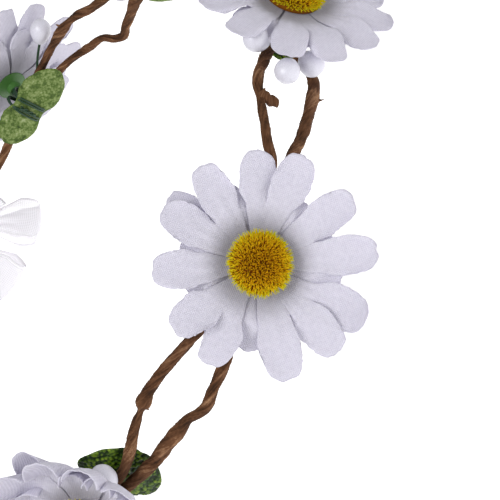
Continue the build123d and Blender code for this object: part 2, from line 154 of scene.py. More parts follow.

# (angle round the ring, height above its plane, diameter)
VINES = {
    "upper_vine_right": [
        (-1, 1.8, 2.7), (9, 1.9, 2.8), (15, 2.0, 2.7), (18.9, 2.3, 2.7), (21.2, 4.4, 2.8),
        (24.6, 6.3, 2.6), (27.5, 7.9, 2.6), (29.4, 8.6, 2.1), (31.8, 9.7, 2.9), (34.5, 9.4, 2.8),
        (36.9, 8.2, 3.1), (43, 4.2, 3.0), (46.5, 0.6, 2.6), (50, -0.1, 2.6), (58, 0.3, 2.6),
        (66, 3.2, 3.0), (71, 5.4, 2.5), (76, 6.2, 3.1), (86, 4.2, 2.6), (93, 2.7, 2.8),
        (100, 2.4, 2.6), (108, 2.5, 2.8), (114, 3.5, 2.5), (119.3, 4.3, 3.0), (123, 4.6, 2.6),
        (126, 5.9, 3.0), (128.4, 6.2, 2.3), (130.5, 6.0, 3.4), (135.6, 4.5, 2.6), (143, 2.0, 2.8),
        (150, 0.9, 2.6), (158, 1.4, 2.8), (163, 3.9, 2.6), (167, 4.7, 2.7), (170.6, 3.4, 2.6),
        (171.8, 0, 2.6), (170.6, -3.4, 2.6), (167, -4.6, 2.6), (164.6, -3.6, 2.2),
    ],
    "lower_vine_right": [
        (-1, -1.8, 2.8), (9, -1.9, 2.8), (16, -2.6, 2.9), (20.6, -3.4, 3.2), (24.7, -5.6, 3.1),
        (28.2, -7.1, 3.3), (32.6, -8.7, 3.3), (36.5, -9.9, 3.5), (39.4, -10.6, 3.2),
        (42.4, -9.3, 2.9), (45.5, -4.9, 2.7), (50, -3.9, 2.6), (58, -4.1, 2.6), (66, -5.6, 3.1),
        (72, -7.4, 2.6), (76, -7.6, 3.1), (86, -5.5, 2.8), (93, -2.2, 2.7), (100, -1.4, 2.6),
        (108, -1.6, 2.9), (113.6, -2.9, 4.0), (118, -6.0, 3.2), (121.8, -8.5, 2.9),
        (125.3, -11.0, 2.8), (126.8, -9.6, 2.5), (127.8, -6.9, 2.4), (131.8, -5.6, 2.7),
        (136.6, -3.8, 2.4), (143, -3.1, 2.7), (150, -2.9, 2.6), (157, -2.9, 2.7),
        (161.5, -4.1, 2.6), (165.8, -4.6, 2.4),
    ],
    "upper_vine_left": [
        (1, 1.8, 2.7), (-8, 3.2, 2.9), (-14.7, 6.1, 3.0), (-19.7, 8.0, 3.2), (-24, 8.7, 3.1),
        (-27.2, 8.5, 3.7), (-28.5, 7.9, 3.9), (-29.3, 7.4, 2.1), (-31.5, 6.2, 2.5),
        (-34, 4.7, 2.9), (-38, 1.2, 3.0), (-42.6, -1.6, 2.9), (-50, -2.1, 2.6), (-58, -1.6, 2.7),
        (-66, 2.6, 3.0), (-71, 5.0, 2.5), (-76, 6.6, 3.1), (-86, 5.2, 2.7), (-93, 3.0, 2.8),
        (-100, 2.9, 2.6), (-108, 3.2, 2.8), (-117, 6.0, 3.0), (-122, 6.2, 2.4), (-127, 5.0, 3.2),
        (-136, 5.6, 2.7), (-143, 2.6, 2.8), (-150, 1.9, 2.6), (-158, 2.2, 2.7), (-163, 3.9, 2.6),
        (-167, 4.7, 2.7), (-170.6, 3.4, 2.6), (-171.8, 0, 2.6), (-170.6, -3.4, 2.6),
        (-167, -4.6, 2.6), (-164.6, -3.6, 2.2),
    ],
    "lower_vine_left": [
        (1, -1.8, 2.8), (-8, -3.0, 2.9), (-16.5, -6.4, 3.1), (-21, -7.4, 3.2), (-24.6, -8.6, 3.1),
        (-26.2, -7.6, 2.8), (-27.4, -6.4, 3.0), (-29.7, -6.2, 3.7), (-33.5, -5.9, 3.9),
        (-37.6, -6.4, 3.8), (-44, -6.0, 3.2), (-50, -5.9, 2.6), (-58, -5.8, 2.7),
        (-66, -7.0, 3.0), (-71, -8.3, 2.6), (-76, -8.2, 3.1), (-86, -5.4, 2.7), (-93, -1.4, 2.8),
        (-100, -0.9, 2.6), (-108, -1.1, 2.8), (-117, -5.0, 3.1), (-123, -8.0, 2.5),
        (-127, -8.0, 3.1), (-136, -6.2, 2.7), (-143, -2.4, 2.8), (-150, -1.9, 2.6),
        (-157, -2.4, 2.7), (-161.5, -4.1, 2.6), (-165.8, -4.6, 2.4),
    ],
}


def on_ring(angle, height=0.0, radius=RING_RADIUS):
    """A place in millimetres, from an angle round the ring and a height above its plane."""
    a = math.radians(angle)
    return Vector((radius * math.sin(a), -radius * math.cos(a), RING_HEIGHT + height))


def make_mesh(name, points, faces, material, uv=None, tone=None):
    """A mesh object from points in millimetres, with a UV pair or a tone for each point."""
    mesh = bpy.data.meshes.new(name)
    mesh.from_pydata((np.array(points, float) / 1000).tolist(), [], faces)
    if uv is not None:
        layer = mesh.uv_layers.new(name="UVMap")
        corners = np.zeros(len(mesh.loops), int)
        mesh.loops.foreach_get("vertex_index", corners)
        layer.data.foreach_set("uv", np.array(uv, float)[corners].ravel())
    if tone is not None:
        mesh.attributes.new("tone", "FLOAT", "POINT").data.foreach_set("value", tone)
    mesh.materials.append(material)
    mesh.shade_smooth()
    made = bpy.data.objects.new(name, mesh)
    bpy.context.scene.collection.objects.link(made)
    return made


def grid_faces(rows, columns, first=0):
    """Quads between rows of points that follow one another in a mesh."""
    starts = [first + i * columns + j for i in range(rows - 1) for j in range(columns - 1)]
    return [(a, a + 1, a + columns + 1, a + columns) for a in starts]


def smooth_rows(rows, step, scale):
    """Evenly spaced rows on a smooth curve through all the given rows."""
    rows = np.array(rows, float)
    chord = np.r_[0, np.cumsum(np.linalg.norm(np.diff(rows * scale, axis=0), axis=1))]
    slope = np.gradient(rows, chord, axis=0)
    place = np.linspace(0, chord[-1], int(chord[-1] / step) + 1)
    i = np.clip(np.searchsorted(chord, place, side="right") - 1, 0, len(rows) - 2)
    run = (chord[i + 1] - chord[i])[:, None]
    t = (place - chord[i])[:, None] / run
    return (
        rows[i] * (1 + 2 * t) * (1 - t) ** 2
        + rows[i + 1] * t**2 * (3 - 2 * t)
        + run * (slope[i] * t * (1 - t) ** 2 - slope[i + 1] * t**2 * (1 - t))
    )


def tube(centres, radii, side, material, name, wrap=0.0):
    """A closed tube round a line of centres. Radii has a row of values for each centre, side is
    the direction its first point faces, and wrap turns the UVs by so many turns per mm."""
    centres, radii, side = np.array(centres), np.array(radii), np.array(side, float)
    run = np.gradient(centres, axis=0)
    run /= np.linalg.norm(run, axis=1)[:, None]
    side = np.broadcast_to(side, centres.shape)
    first = side - (side * run).sum(1)[:, None] * run
    first /= np.linalg.norm(first, axis=1)[:, None]
    second = np.cross(run, first)
    count = radii.shape[1]
    turn = 2 * np.pi * np.arange(count) / count
    points = (
        centres[:, None]
        + radii[:, :, None] * np.cos(turn)[None, :, None] * first[:, None]
        + radii[:, :, None] * np.sin(turn)[None, :, None] * second[:, None]
    )
    length = np.r_[0, np.cumsum(np.linalg.norm(np.diff(centres, axis=0), axis=1))]
    rings = len(centres)
    faces, corners_uv = [], []
    girth = 2 * np.pi * radii.mean()
    for i in range(rings - 1):
        for j in range(count):
            k = (j + 1) % count
            faces.append((i * count + j, i * count + k, (i + 1) * count + k, (i + 1) * count + j))
            for row, column in ((i, j), (i, j + 1), (i + 1, j + 1), (i + 1, j)):
                across = column / count - wrap * length[row]
                corners_uv.append((length[row], across * girth))
    ends = [centres[0], centres[-1]]
    last = rings * count
    for j in range(count):
        k = (j + 1) % count
        faces.append((last, k, j))
        faces.append((last + 1, (rings - 1) * count + j, (rings - 1) * count + k))
        corners_uv += [(0, 0), (0.5, 0.5), (0.5, 0)] * 2
    made = make_mesh(name, np.vstack([points.reshape(-1, 3), ends]), faces, material)
    made.data.uv_layers.new(name="UVMap").data.foreach_set("uv", np.array(corners_uv).ravel())
    return made


# Kraft paper: unbleached brown pulp, matt, wrinkled by twisting. The creases run with the twist. Their
# colour follows the bump: painted shade darkens the valleys and painted light brightens the laps and ridges.
kraft_paper, shader = new_material("twisted_kraft_paper", Roughness=0.9, IOR=1.35)
place = add_node(kraft_paper, "ShaderNodeTexCoord").outputs["UV"]
along_crease = add_node(kraft_paper, "ShaderNodeMapping", {"Vector": place, "Scale": (0.16, 1.5, 1)})
crease = add_node(
    kraft_paper,
    "ShaderNodeTexNoise",
    {"Vector": along_crease.outputs[0], "Scale": 1.0, "Detail": 5.0, "Roughness": 0.62},
)
fibre_stretch = add_node(kraft_paper, "ShaderNodeMapping", {"Vector": place, "Scale": (1.2, 7, 1)})
fibre = add_node(
    kraft_paper, "ShaderNodeTexNoise", {"Vector": fibre_stretch.outputs[0], "Scale": 1.0, "Detail": 3.0}
)
tone = add_node(kraft_paper, "ShaderNodeAttribute", attribute_name="tone")
mixed = add_node(
    kraft_paper,
    "ShaderNodeMath",
    {0: crease.outputs["Fac"], 1: 0.8, 2: tone.outputs["Fac"]},
    operation="MULTIPLY_ADD",
)
mixed = add_node(
    kraft_paper,
    "ShaderNodeMath",
    {0: fibre.outputs["Fac"], 1: 0.3, 2: mixed.outputs[0]},
    operation="MULTIPLY_ADD",
)
# The ramp runs from painted shade in the crease valleys to painted light on the ridges.
paper_colour = add_node(
    kraft_paper,
    "ShaderNodeValToRGB",
    {"Fac": mixed.outputs[0]},
    stops=[(0.24, "#1C0E06"), (0.48, "#432813"), (0.72, "#64422A"), (1.0, "#A27C5B")],
)
bumps = add_node(
    kraft_paper, "ShaderNodeBump", {"Height": mixed.outputs[0], "Strength": 0.75, "Distance": 0.0003}
)
feed(kraft_paper, shader, Base_Color=paper_colour.outputs[0], Normal=bumps.outputs[0])

# Annealed steel wire: drawn, soft, with a dull grey oxide skin.
steel, shader = new_material(
    "annealed_steel_wire", Base_Color=linear("#6E6B68"), Metallic=1.0, Roughness=0.45
)
grain = add_node(steel, "ShaderNodeTexNoise", {"Scale": 900.0, "Detail": 2.0})
roughness = add_node(
    steel, "ShaderNodeMapRange", {"Value": grain.outputs["Fac"], "To Min": 0.32, "To Max": 0.6}
)
feed(steel, shader, Roughness=roughness.outputs[0])


def twisted_section(length, diameter, count, seed):
    """The radius all round a paper-wrapped wire at one place, with its laps and creases."""
    turn = 2 * math.pi * length / PAPER_TWIST + 1.6 * noise.noise((length / 9, seed, 0))
    swell = 1 + 0.13 * noise.noise((length / 4.5, seed, 3.1))
    radii = []
    for j in range(count):
        around = 2 * math.pi * j / count - turn
        lap = (around / (2 * math.pi)) % 1.0
        fold = noise.noise((1.7 * math.cos(around), 1.7 * math.sin(around) + seed, length / 8))
        ridge = noise.noise((3.4 * math.cos(around) + seed, 3.4 * math.sin(around), length / 5))
        bulge = 0.09 * (lap - 0.5) + 0.15 * fold - 0.2 * abs(ridge) + 0.04
        radii.append(diameter / 2 * (swell + bulge))
    return radii


RING_DEGREE = math.radians(1) * RING_RADIUS
for seed, (name, route) in enumerate(VINES.items()):
    level, _, hand = name.split("_")
    rows = smooth_rows(route, STEP, (RING_DEGREE, 1, 0.3))
    centres = [on_ring(a, h) for a, h, _ in rows]
    outward = [on_ring(a, -RING_HEIGHT, 1) for a, _, _ in rows]
    radii = [twisted_section(i * STEP, row[2], ROUND, 7.3 * seed) for i, row in enumerate(rows)]
    for end, shrink in ((0, 0.3), (1, 0.75), (-2, 0.8), (-1, 0.45)):
        radii[end] = [r * shrink for r in radii[end]]
    paper = tube(centres, radii, outward, kraft_paper, f"{name}_paper", wrap=1 / PAPER_TWIST)
    # The vine's relief goes into the paper's colour: painted shade in the valleys, painted light on the
    # laps.
    relief = (np.array(radii) / (rows[:, 2:] / 2) - 1) * 1.5
    paper.data.attributes.new("tone", "FLOAT", "POINT").data.foreach_set(
        "value", np.r_[np.clip(relief, -0.3, 0.3).ravel() + 0.08, 0, 0]
    )
    core = tube(centres, np.full((len(centres), 8), WIRE_RADIUS), outward, steel, f"{name}_wire")
    for piece, front_node, hand_node, slot in (
        (paper, "vine_papers_front", f"{level}_vine_paper_{hand}", "kraft_paper"),
        (core, "vine_wires_front", f"vine_wires_{hand}", "steel_wire"),
    ):
        start, end = (on_ring(a if hand == "right" else -a) / 1000 for a in FLEX_ZONE)
        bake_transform(piece)
        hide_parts(front_node, hand_node)

# --- Twisted stub on the upper right vine --------------------------------------------------
# Where one length of wrapped wire ends, its tail is doubled back and twisted on itself. It
# hangs from the vine as a short knobby hook and is wrapped in the same paper.
STUB_ROUTE = [(30.4, 9.3), (29.7, 7.7), (29.5, 6.1), (29.7, 4.4), (30.0, 3.0)]
rows = smooth_rows(STUB_ROUTE, 0.25, (RING_DEGREE, 1))
radii = []
for i in range(len(rows)):
    length = i * 0.25
    rounding = math.sqrt(max(0.03, 1 - max(0, (length - 5.6) / 1.1) ** 2))
    strands = [0.22 * math.cos(2 * (math.pi * j / 11 - 1.3 * length)) for j in range(ROUND)]
    wrinkles = twisted_section(3 * length, 3.0, ROUND, 51.0)
    radii.append([rounding * (r * 0.95 + s) for r, s in zip(wrinkles, strands)])
stub = tube([on_ring(a, h, 90.6) for a, h in rows], radii, (0.5, -0.87, 0), kraft_paper,
            "vine_stub_right", wrap=0.2)
stub.data.attributes.new("tone", "FLOAT", "POINT").data.foreach_set(
    "value", np.full(len(stub.data.vertices), 0.12)
)
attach(stub, "right_arm")

# --- Torn paper tags -----------------------------------------------------------------------
# Loose corners of the paper strip stand off the vines where the wrapping was torn or ended.
TAGS = [
    ("upper_vine_right", 38.3, 1, 1.6), ("lower_vine_right", 34.2, 1, 1.1),
    ("lower_vine_right", 35.6, -1, 1.7), ("lower_vine_right", 36.4, -1, 1.3),
    ("upper_vine_right", 31.2, 1, 1.0), ("upper_vine_left", -28.7, 1, 1.3),
    ("upper_vine_left", -28.8, -1, 1.1), ("upper_vine_left", -28.6, 1, 0.9),
    ("lower_vine_left", -26.0, 1, 1.1), ("upper_vine_right", 72.0, 1, 1.4),
    ("lower_vine_left", -72.5, -1, 1.4), ("upper_vine_right", 130.6, 1, 1.5),
    ("lower_vine_right", 125.0, -1, 1.3), ("upper_vine_left", -123.0, 1, 1.4),
    ("lower_vine_left", -131.0, -1, 1.2), ("lower_vine_right", 80.0, -1, 1.2),
]
chance = random.Random(5)
for number, (vine, angle, up, size) in enumerate(TAGS):
    route = sorted(VINES[vine][:-6])
    height = np.interp(angle, [r[0] for r in route], [r[1] for r in route])
    width = np.interp(angle, [r[0] for r in route], [r[2] for r in route])
    hand = vine.split("_")[2]
    root = on_ring(angle, height + up * width * 0.36)
    across = (on_ring(angle + 0.5) - on_ring(angle - 0.5)).normalized()
    rise = Vector((0, 0, up)) + 0.5 * chance.uniform(-1, 1) * across
    lean = on_ring(angle, -RING_HEIGHT, 1) * chance.uniform(0.1, 0.9)
    points = []
    for i in range(5):
        t = i / 4
        for j in (-1, 0, 1):
            half = 0.55 * (1 - t) ** 0.7 + 0.06
            bend = rise * size * t + lean * size * (t * t) + across * half * j
            points.append(root + bend + Vector((0, 0, 0.08 * (j * j) * up)))
    uv = [(p.x * 3, p.z * 3) for p in points]
    faces = grid_faces(5, 3)
    tag = make_mesh(f"paper_tag_{number + 1}", points, faces, kraft_paper, uv, np.full(15, 0.25))
    bpy.context.view_layer.objects.active = tag
    thickness = tag.modifiers.new("paper", "SOLIDIFY")
    thickness.thickness = 0.00012
    thickness.offset = 0
    bpy.ops.object.modifier_apply(modifier="paper")
    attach(tag, f"{hand}_arm")

# --- Stems ----------------------------------------------------------------------------------
# Each daisy turns on a peg of thick wire dipped in dark green plastic. Its foot lies in the
# valley between the vines, under the binding wire.
coated_wire, shader = new_material("dark_green_dipped_wire", Roughness=0.38, IOR=1.5)
mottle = add_node(coated_wire, "ShaderNodeTexNoise", {"Scale": 700.0, "Detail": 3.0})
green = add_node(
    coated_wire,
    "ShaderNodeValToRGB",
    {"Fac": mottle.outputs["Fac"]},
    stops=[(0.3, "#0E2A17"), (0.7, "#234A2A")],
)
bumps = add_node(
    coated_wire, "ShaderNodeBump", {"Height": mottle.outputs["Fac"], "Strength": 0.3, "Distance": 0.0002}
)
feed(coated_wire, shader, Base_Color=green.outputs[0], Normal=bumps.outputs[0])

# Calyxes are moulded in green polyethylene, waxy, slightly translucent, with fine flow marks.
green_plastic, shader = new_material("moulded_green_polyethylene", Roughness=0.42, IOR=1.51)
flow = add_node(green_plastic, "ShaderNodeTexNoise", {"Scale": 260.0, "Detail": 4.0})
green = add_node(
    green_plastic,
    "ShaderNodeValToRGB",
    {"Fac": flow.outputs["Fac"]},
    stops=[(0.3, "#35602A"), (0.75, "#4F8238")],
)
bumps = add_node(
    green_plastic, "ShaderNodeBump", {"Height": flow.outputs["Fac"], "Strength": 0.2, "Distance": 0.0002}
)
feed(green_plastic, shader, Base_Color=green.outputs[0], Normal=bumps.outputs[0])

HEADS = {}
for joint in frame["joints"]:
    if joint["name"].endswith("_spin"):
        face = Vector(joint["axis"]).normalized()
        along = Vector((0, 0, 1)).cross(face).normalized()
        HEADS[joint["name"][:-5]] = (Vector(joint["pos_m"]) * 1000, along, face.cross(along), face)
for name in HEADS:
    for part, material in (("stem", coated_wire), ("calyx", green_plastic)):
        mesh = frame["nodes"][f"{name}_{part}"].data
        mesh.materials.clear()
        mesh.materials.append(material)

# --- Petals ---------------------------------------------------------------------------------
# Each daisy has two layers of petals, stamped from stiffened white plain-weave cloth and
# pressed hot into shallow spoons. A layer is one piece inside the slits round the disc.
PETALS = 12
SLIT_RADIUS = 14.3
HOLE_RADIUS = 1.6
CLOTH = 0.26
LONG_ROWS = 26              # rows of points along a petal
CROSS_ROWS = 27             # and across it
JOINED_ROW = 8              # the row at the slits, inside which the petals are one cloth
LOWER_LOOSENESS = 0.3       # how much the lower layer cups and curls, beside the upper one
CLOSING_REACH = 29.0        # a closed petal's reach falls by its closing squared over this, mm
TABLE_GAP, TABLE_SPLAY = 0.3, 0.8   # tips stay this high, and slide out by this share


def thread_waves(material, place, per_mm):
    """Waves along and across a cloth, one for each thread."""
    split = add_node(material, "ShaderNodeSeparateXYZ", {0: place})
    waves = []
    for axis in ("X", "Y"):
        turns = {0: split.outputs[axis], 1: 2 * math.pi * per_mm}
        scaled = add_node(material, "ShaderNodeMath", turns, operation="MULTIPLY")
        waves.append(add_node(material, "ShaderNodeMath", {0: scaled.outputs[0]}, operation="SINE"))
    return waves


# Petal cloth: bleached polyester plain weave, stiffened, soft white with a cool cast. The
# threads are drawn about twice as coarse as they are, so that the weave shows.
THREADS_PER_MM = 1.4
petal_cloth, shader = new_material(
    "stiffened_white_plain_weave", Roughness=0.85, IOR=1.45, Sheen_Weight=0.25, Sheen_Roughness=0.5
)
place = add_node(petal_cloth, "ShaderNodeTexCoord").outputs["UV"]
threads = thread_waves(petal_cloth, place, THREADS_PER_MM)
weave = add_node(
    petal_cloth,
    "ShaderNodeMath",
    {0: threads[0].outputs[0], 1: threads[1].outputs[0]},
    operation="MULTIPLY",
)
slub = add_node(
    petal_cloth, "ShaderNodeTexNoise", {"Vector": place, "Scale": 0.9, "Detail": 4.0, "Roughness": 0.6}
)
thread_tone = add_node(
    petal_cloth,
    "ShaderNodeMath",
    {0: weave.outputs[0], 1: 0.3, 2: slub.outputs["Fac"]},
    operation="MULTIPLY_ADD",
)
white = add_node(
    petal_cloth,
    "ShaderNodeValToRGB",
    {"Fac": thread_tone.outputs[0]},
    stops=[(0.05, "#D0CDDB"), (0.5, "#E3E0ED"), (0.95, "#EEECF6")],
)
bumps = add_node(
    petal_cloth, "ShaderNodeBump", {"Height": weave.outputs[0], "Strength": 0.45, "Distance": 0.00015}
)
# Round the disc the cloth is drawn greyer: this is painted shade, for the shadow round the disc.
from_axis = add_node(petal_cloth, "ShaderNodeVectorMath", {0: place}, operation="LENGTH")
disc_painted_shade = add_node(
    petal_cloth,
    "ShaderNodeMapRange",
    {
        "Value": from_axis.outputs["Value"],
        "From Min": 8.5,
        "From Max": 16.5,
        "To Min": 0.56,
        "To Max": 1.0,
    },
    interpolation_type="SMOOTHSTEP",
)
greyed = add_node(
    petal_cloth,
    "ShaderNodeMix",
    {"Factor": 1.0, 6: white.outputs[0], 7: disc_painted_shade.outputs[0]},
    data_type="RGBA",
    blend_type="MULTIPLY",
)
feed(petal_cloth, shader, Base_Color=greyed.outputs[2], Normal=bumps.outputs[0])
thin = add_node(petal_cloth, "ShaderNodeBsdfTranslucent", {"Color": linear("#E9E7F3")})
both = add_node(
    petal_cloth, "ShaderNodeMixShader", {"Fac": 0.22, 1: shader.outputs[0], 2: thin.outputs[0]}
)
output = petal_cloth.node_tree.nodes["Material Output"]
petal_cloth.node_tree.links.new(both.outputs[0], output.inputs["Surface"])

LAYERS = {
    # name: (back of the cloth along the axis, rise at the tips, tip radius, half width, turn)
    "upper": (11.0, 3.6, 29.0, 5.25, 0.0),
    "lower": (10.2, 2.2, 22.2, 4.2, 14.0),
}
# How far each daisy was turned on its peg, and how far its petals are closed or dropped.
TURNS = {"front": 0, "right_front": 15, "right_side": 8, "right_back": 21, "left_front": 6,
         "left_side": -11, "left_back": 3}
CLOSED = {"front": 0.0, "right_front": -4.0, "left_front": 8.5, "right_side": 0.3,
          "left_side": 0.8, "right_back": 0.5, "left_back": -0.4}
# The front daisy's petals as they stand, from the lowest one round: each one's swing and length.
FRONT_SWING = (-6, -2, -2.5, 0.6, -6.4, -4.7, -5.0, -3, -0.5, -6.6, 5, 4.3)
FRONT_LENGTH = (31.2, 30.8, 29.5, 29.5, 29.0, 29.0, 28.7, 28.3, 28.5, 29.3, 30.5, 30.3)


def petal_layer(layer, swings, lengths, closed, chance):
    """Points, faces and UVs of one layer in the daisy's own frame: x, y across, z along the axis."""
    back, rise, tip, half_width, turn = LAYERS[layer]
    curve = (rise**2 + (tip + 1) ** 2) / (2 * rise)
    pitch = 360 / PETALS
    headings = [-90 + turn + pitch * k + swings[k] for k in range(PETALS)]
    points, faces, uv = [], [], []
    loose = 1.0 if layer == "upper" else LOWER_LOOSENESS
    for k, heading in enumerate(headings):
        before = (headings[k] - headings[k - 1]) % 360 / 2
        after = (headings[(k + 1) % PETALS] - heading) % 360 / 2
        length = lengths[k]
        width = half_width * chance.uniform(0.93, 1.04)
        cup = chance.uniform(0.5, 1.3) * loose
        curl = chance.uniform(-0.9, 1.5) * loose
        lean = chance.uniform(-0.85, -0.5)
        fold = chance.choice((0, 0, 0, 1)) * chance.choice((-1, 1)) * loose
        blunt = chance.uniform(2.3, 3.0)
        seed = chance.uniform(0, 100)
        start = len(points)
        for i in range(LONG_ROWS):
            t = max(0.0, (i - JOINED_ROW) / (LONG_ROWS - 1 - JOINED_ROW))
            for j in range(CROSS_ROWS):
                u = math.sin(math.pi / 2 * (2 * j / (CROSS_ROWS - 1) - 1))
                spread = math.radians(after * u if u > 0 else before * u)
                if i <= JOINED_ROW:
                    radius = HOLE_RADIUS + (SLIT_RADIUS - HOLE_RADIUS) * (i / JOINED_ROW)
                    x, y = radius * math.sin(spread), radius * math.cos(spread)
                else:
                    foot_x = SLIT_RADIUS * math.sin(spread)
                    foot_y = SLIT_RADIUS * math.cos(spread)
                    shape = math.sin(math.pi * (0.18 + 0.46 * t)) ** 0.8
                    settle = min(1, t * 2.2)
                    settle = settle * settle * (3 - 2 * settle)
                    x = foot_x * (1 - settle) + u * width * shape * settle
                    ragged = 0.55 * noise.noise((seed + 2.6 * u, 1.7, k))
                    ragged += 0.14 * noise.noise((seed + 9 * u, 4.0, k))
                    rounding = 5.2 * (1 - (1 - abs(u) ** blunt) ** (1 / 2.1))
                    end = length - rounding + ragged * min(1, t * 2)
                    y = foot_y + (end - foot_y) * t
                    if abs(u) > 0.9:
                        x += 0.3 * noise.noise((seed, y * 1.3, u)) * min(1, t * 2)
                radius = math.hypot(x, y)
                z = back + curve - math.sqrt(curve**2 - min(radius, tip) ** 2) + CLOTH
                valley = math.exp(-(((radius - 13.5) / 3.6) ** 2))
                z -= 0.55 * abs(u) ** 2.2 * valley
                ribs = math.exp(-(((radius - 15.5) / 4) ** 2))
                z += 0.16 * math.cos(2.5 * math.pi * u) * ribs * loose
                z -= 0.95 * math.exp(-(((radius - 9.3) / 3.4) ** 2))
                free = t * t * (3 - 2 * t)
                y -= closed**2 / CLOSING_REACH * free * t
                z += cup * (u * u - 0.35) * math.sin(math.pi * min(1, 0.25 + 0.75 * t)) ** 0.7 * free * 1.25
                leaning = lean * u * math.sin(math.pi * min(1, 0.9 * t)) ** 0.6 * min(1, t * 5)
                z += curl * max(0, t - 0.62) ** 2 * 5 + leaning
                z += closed * free * t - (1 - loose) * 1.6 * free
                z += 0.36 * noise.noise((seed + x * 0.16, y * 0.13, 2.2)) * free * loose
                if fold and u * fold > 0.62 and t > 0.45:
                    z += 1.6 * (u * fold - 0.62) * min(1, (t - 0.45) * 4)
                    x -= fold * 1.5 * (u * fold - 0.62) * min(1, (t - 0.45) * 4)
                angle = math.radians(heading)
                flat_x = y * math.cos(angle) + x * math.sin(angle)
                flat_y = y * math.sin(angle) - x * math.cos(angle)
                points.append((flat_x, flat_y, z))
                uv.append((flat_x, flat_y))
        faces += grid_faces(LONG_ROWS, CROSS_ROWS, start)
    return points, faces, uv


def place_on_head(name, points):
    """Points of a daisy's own frame, put in their place. Tips that reach the table bend out."""
    origin, along, up, face = HEADS[name]
    outward = Vector((face.x, face.y, 0)).normalized()
    placed = [origin + along * x + up * y + face * z for x, y, z in points]
    for point in placed:
        sunk = max(0, TABLE_GAP - point.z)
        point += outward * TABLE_SPLAY * sunk + Vector((0, 0, sunk))
    return placed


for number, name in enumerate(HEADS):
    chance = random.Random(40 + number)
    for layer in LAYERS:
        tip = LAYERS[layer][2]
        swings = [TURNS[name] + chance.uniform(-4, 4) for _ in range(PETALS)]
        lengths = [tip + chance.uniform(-0.9, 0.4) for _ in range(PETALS)]
        if layer == "lower":
            lengths = [tip + chance.uniform(-2.4, 0.6) for _ in range(PETALS)]
            lengths[5] = tip + 6.6
        elif name == "front":
            swings, lengths = FRONT_SWING, FRONT_LENGTH
        closed = CLOSED[name]
        if layer == "lower":
            closed = max(0.45 * closed, 0.7 * closed)
        points, faces, uv = petal_layer(layer, swings, lengths, closed, chance)
        piece = make_mesh(f"{name}_{layer}_petals", place_on_head(name, points), faces, petal_cloth, uv)
        bpy.ops.object.select_all(action="DESELECT")
        piece.select_set(True)
        bpy.context.view_layer.objects.active = piece
        bpy.ops.object.mode_set(mode="EDIT")
        bpy.ops.mesh.select_all(action="SELECT")
        bpy.ops.mesh.remove_doubles(threshold=0.00002)
        bpy.ops.object.mode_set(mode="OBJECT")
        face = HEADS[name][3]
        if sum(p.normal.dot(face) for p in piece.data.polygons) < 0:
            piece.data.flip_normals()
        thickness = piece.modifiers.new("cloth", "SOLIDIFY")
        thickness.thickness = CLOTH / 1000
        thickness.offset = -1
        bpy.ops.object.modifier_apply(modifier="cloth")
        # The area is the finished mesh's own, kept to what a square blank allows. So the test
        # of the cloth's area compares the mesh with itself, and can't show a stretched petal.
        across = 2 * max(lengths) / 1000
        area = sum(p.area for p in piece.data.polygons) / 2
        area = min(max(area, 0.31 * across**2), across**2)
        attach(piece, f"{name}_daisy")
        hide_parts(f"{name}_petals_{layer}")

# --- Flocked discs ---------------------------------------------------------------------------
# The yellow eye of each daisy is a moulded button flocked with short stiff fibre. The pile stands up in the
# middle and fans out bright at the rim. Each fibre is drawn brown at its root and paler toward its tip, and
# the button under the pile dark brown: painted shade deep in the pile.
BUTTON_RADIUS, BUTTON_BASE, BUTTON_RISE = 7.7, 11.9, 2.6
FIBRES = 2600
flock, shader = new_material("golden_nylon_flock", Roughness=0.85, IOR=1.25)
tone = add_node(flock, "ShaderNodeAttribute", attribute_name="tone")
gold = add_node(
    flock,
    "ShaderNodeValToRGB",
    {"Fac": tone.outputs["Fac"]},
    stops=[(0.0, "#4A2502"), (0.3, "#9A5C02"), (0.6, "#D79A05"), (0.85, "#F2C40C"), (1.0, "#D6D41E")],
)
fleck = add_node(flock, "ShaderNodeTexNoise", {"Scale": 900.0, "Detail": 2.0})
tint = add_node(
    flock, "ShaderNodeMapRange", {"Value": fleck.outputs["Fac"], "To Min": 0.82, "To Max": 1.12}
)
varied = add_node(
    flock,
    "ShaderNodeMix",
    {"Factor": 1.0, 6: gold.outputs[0], 7: tint.outputs[0]},
    data_type="RGBA",
    blend_type="MULTIPLY",
)
feed(flock, shader, Base_Color=varied.outputs[2])


def button_height(radius):
    """How far the button's face stands along the daisy's axis."""
    return BUTTON_BASE + BUTTON_RISE * math.sqrt(max(0, 1 - (radius / (BUTTON_RADIUS + 0.6)) ** 2))


